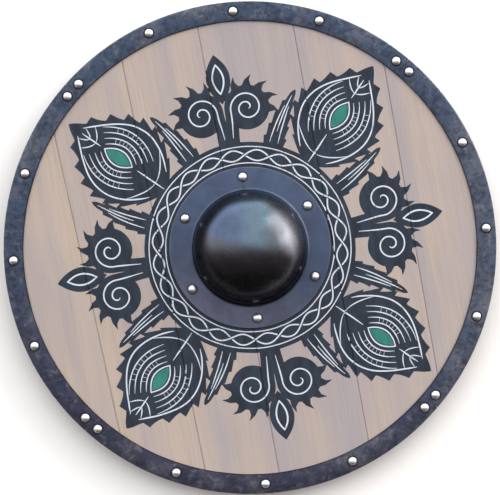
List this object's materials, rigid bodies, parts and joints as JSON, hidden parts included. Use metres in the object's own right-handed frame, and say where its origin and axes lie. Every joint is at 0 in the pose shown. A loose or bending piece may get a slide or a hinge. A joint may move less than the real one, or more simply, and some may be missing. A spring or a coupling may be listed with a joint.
{
  "type": "round wooden shield",
  "caption": "Round shield of upright boards in a riveted steel rim, with a domed boss over the hand hole and a grip and battens behind.",
  "frame": {"origin": "on the ground under the middle of the shield, which lies on its back with its front face up", "axes": "+Z is the way the front faces, +Y runs along the boards towards the shield's top, and +X is to the right as the front is looked at"},
  "size_m": [0.6095, 0.6096, 0.0922],
  "materials": {
    "painted_boards": "pale limewashed planks with a painted knotwork ring, matt",
    "blackened_steel_rim": "blackened mild steel strip, satin, mottled",
    "blackened_steel_boss": "blackened and oiled steel, the dome semi-gloss",
    "bright_steel_rivets": "polished round-head rivets",
    "back_timber": "oiled hardwood, satin",
    "screw_steel": "plain slotted wood screws, dull"
  },
  "bodies": {
    "root": {"board_1": "painted_boards", "board_2": "painted_boards", "board_3": "painted_boards", "board_4": "painted_boards", "board_5": "painted_boards", "board_6": "painted_boards", "rim_segment_1": "blackened_steel_rim", "rim_segment_2": "blackened_steel_rim", "rim_segment_3": "blackened_steel_rim", "rim_segment_4": "blackened_steel_rim", "boss": "blackened_steel_boss", "rim_rivet_1": "bright_steel_rivets", "rim_rivet_2": "bright_steel_rivets", "rim_rivet_3": "bright_steel_rivets", "rim_rivet_4": "bright_steel_rivets", "rim_rivet_5": "bright_steel_rivets", "rim_rivet_6": "bright_steel_rivets", "rim_rivet_7": "bright_steel_rivets", "rim_rivet_8": "bright_steel_rivets", "rim_rivet_9": "bright_steel_rivets", "rim_rivet_10": "bright_steel_rivets", "rim_rivet_11": "bright_steel_rivets", "rim_rivet_12": "bright_steel_rivets", "rim_rivet_13": "bright_steel_rivets", "rim_rivet_14": "bright_steel_rivets", "rim_rivet_15": "bright_steel_rivets", "rim_rivet_16": "bright_steel_rivets", "rim_rivet_17": "bright_steel_rivets", "rim_rivet_18": "bright_steel_rivets", "rim_rivet_19": "bright_steel_rivets", "rim_rivet_20": "bright_steel_rivets", "boss_rivet_1": "bright_steel_rivets", "boss_rivet_2": "bright_steel_rivets", "boss_rivet_3": "bright_steel_rivets", "boss_rivet_4": "bright_steel_rivets", "boss_rivet_5": "bright_steel_rivets", "boss_rivet_6": "bright_steel_rivets", "grip": "back_timber", "upper_batten": "back_timber", "lower_batten": "back_timber", "grip_screw_1": "screw_steel", "grip_screw_2": "screw_steel", "grip_screw_3": "screw_steel", "grip_screw_4": "screw_steel", "grip_screw_5": "screw_steel", "grip_screw_6": "screw_steel", "upper_batten_screw_1": "screw_steel", "upper_batten_screw_2": "screw_steel", "upper_batten_screw_3": "screw_steel", "upper_batten_screw_4": "screw_steel", "upper_batten_screw_5": "screw_steel", "upper_batten_screw_6": "screw_steel", "lower_batten_screw_1": "screw_steel", "lower_batten_screw_2": "screw_steel", "lower_batten_screw_3": "screw_steel", "lower_batten_screw_4": "screw_steel", "lower_batten_screw_5": "screw_steel", "lower_batten_screw_6": "screw_steel"}
  },
  "joints": []
}
